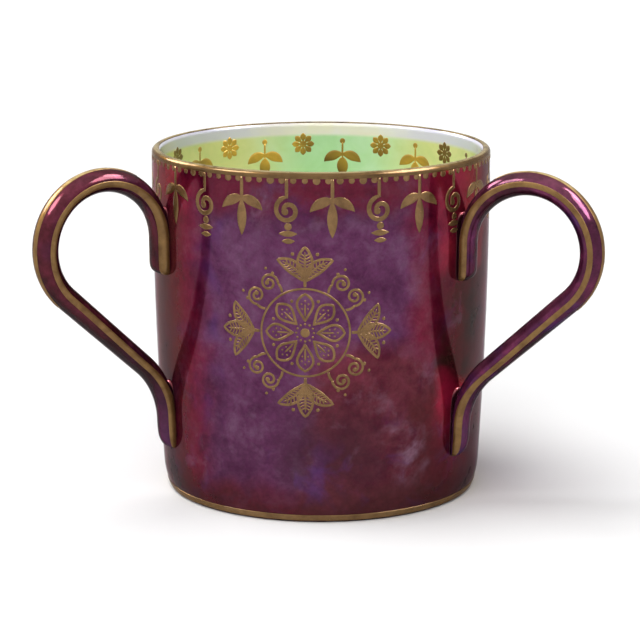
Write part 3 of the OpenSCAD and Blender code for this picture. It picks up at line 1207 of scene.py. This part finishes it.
def build_handles(glaze, gold, pooled):
    """The three handles, the gilt lines on them and the glaze pooled round their roots."""
    upper, loop, stem, bend, lower = handle_stretches()
    stations = upper + loop + stem + bend + lower
    oval = [[section_point(s, a) for a in round_angles(HANDLE_SIDES)] for s in stations]
    crest_from = int(LOOP_STEPS * CREST_FROM)
    ridge = gilt_strip(loop[crest_from:], 0, CREST_HALF, CREST_HALF)
    roots = {"upper": upper + [s for s in loop[:LOOP_STEPS // 4] if wall_gap(s) < WEDGE_GAP],
             "lower": [s for s in bend if wall_gap(s) < WEDGE_GAP] + lower}
    for name, bearing, drop, loop_half, root_half, line_lean in HANDLES:
        skin = handle_tube(oval, bearing, drop)
        make_piece("glazed_handle_" + name, skin, glaze, ("handle_" + name,))
        lines = Relief()
        strips = [gilt_strip(stations, side, loop_half, root_half, line_lean) for side in (1, -1)]
        for strip in strips + [ridge]:
            lines.add(*handle_tube(strip, bearing, drop))
        make_piece("handle_lines_" + name, lines.skin(), gold, ("gilt_lines_" + name,))
        for place, root in roots.items():
            skin = tube(glaze_pool(root, bearing, drop))
            end = place + "_" + name
            make_piece("glaze_pool_" + end, skin, pooled, ("slip_" + end,))


def build_ornament(gold, inner_gold):
    """Beaded edge, hanging border, front medallion and the inside border."""
    beads = [bead_scallop(radius) for radius in BEAD_RADII]
    edge = [(beads[k % len(beads)], 360 * k / BEADS, BEAD_Z) for k in range(BEADS)]
    lay("beaded_edge", edge, wrap_outside, gold)
    lay("leaf_sprigs", repeated(sprig(), SPRIG_BEARING, HEIGHT), wrap_outside, gold)
    lay("scroll_drops", repeated(scroll_drop(), DROP_BEARING, HEIGHT), wrap_outside, gold)
    lay("front_medallion", [(medallion(), 0.0, PANEL_Z)], wrap_outside, gold)
    lay("inside_rosettes", repeated(rosette(), ROSETTE_BEARING, ROSETTE_Z), wrap_inside, inner_gold)
    lay("inside_sprigs", repeated(inner_sprig(), INNER_SPRIG_BEARING, INNER_SPRIG_Z), wrap_inside, inner_gold)


# Studio

def plain_white(n):
    """1 for the rays that see the backdrop: from the camera, in gloss and through glass."""
    path = n.add("ShaderNodeLightPath").outputs
    return n.largest(path["Is Camera Ray"], path["Is Glossy Ray"], path["Is Transmission Ray"])


def build_floor():
    """A white floor that keeps the cup's shadow."""
    square = ((-1, -1), (1, -1), (1, 1), (-1, 1))
    mesh = bpy.data.meshes.new("floor")
    mesh.from_pydata([(x * FLOOR_HALF, y * FLOOR_HALF, 0) for x, y in square], [], [(0, 1, 2, 3)])
    floor = add_object("floor", mesh)
    material, n = new_material("floor_paper")
    dark, light = PAPER
    colour = n.ramp(n.noise(30, 3, 0.5), ((0.3, dark), (0.7, light)))
    paper = n.add("ShaderNodeBsdfPrincipled", Base_Color=colour, Roughness=0.9, Specular_IOR_Level=0.0)
    glow = n.add("ShaderNodeEmission", Color=WHITE, Strength=n.product(plain_white(n), FLOOR_LIFT))
    n.surface(n.add("ShaderNodeAddShader", in0=paper.outputs[0], in1=glow.outputs[0]))
    mesh.materials.append(material)


def build_world():
    """White backdrop to the camera and in gloss, softer light from all round."""
    world = bpy.data.worlds.new("studio")
    bpy.context.scene.world = world
    world.use_nodes = True
    n = Nodes(world.node_tree)
    plain = n.add("ShaderNodeBackground", Color=WHITE, Strength=WORLD_LIGHT)
    white = n.add("ShaderNodeBackground", Color=WHITE, Strength=1.0)
    both = n.add("ShaderNodeMixShader", in0=plain_white(n), in1=plain.outputs[0], in2=white.outputs[0])
    n.add("ShaderNodeOutputWorld", Surface=both.outputs[0])


def build_lights():
    """Broad soft lamps, far enough off to light the floor evenly."""
    for lamp in LAMPS:
        data = bpy.data.lights.new(lamp.name, "SUN")
        data.energy = lamp.strength
        data.angle = radians(lamp.spread)
        light = add_object(lamp.name, data)
        light.rotation_euler = Vector(lamp.aim).to_track_quat("-Z", "Y").to_euler()
        light.visible_diffuse = not lamp.card
        light.visible_glossy = lamp.card


def build_camera():
    """The photograph's view: a long lens a little above the rim and to the right of the front."""
    data = bpy.data.cameras.new("camera")
    data.sensor_width = CAM_SENSOR
    data.lens = CAM_LENS
    data.clip_start = CAM_NEAR
    c, s = cos(CAM_AZIMUTH), sin(CAM_AZIMUTH)
    level = cos(CAM_PITCH)
    forward = Vector((-s * level, c * level, -sin(CAM_PITCH)))
    x, y, z = CAM_TARGET
    target = Vector((x * c - y * s, x * s + y * c, z))
    camera = add_object("camera", data)
    camera.location = (target - forward * CAM_DISTANCE) * MM
    camera.rotation_euler = forward.to_track_quat("-Z", "Y").to_euler()
    bpy.context.scene.camera = camera


def corners(box):
    return [list(corner) for corner in box]


bpy.context.scene.view_settings.view_transform = "Standard"

gold = gilding("gilding", GILT, 0.2)
rim_gold = gilding("rim_gilding", RIM_GILT, 0.2, RIM_TOP_HIGHLIGHT)
line_gold = gilding("line_gilding", LINE_GILT, 0.34, LINE_TOP_HIGHLIGHT)
inner_gold = inside_gilding()
build_body(body_lustre(), inside_glaze(), bare_china())
build_bands(rim_gold, gold)
build_handles(handle_lustre(), line_gold, pooled_glaze())
build_ornament(gold, inner_gold)

build_floor()
build_world()
build_lights()
build_camera()
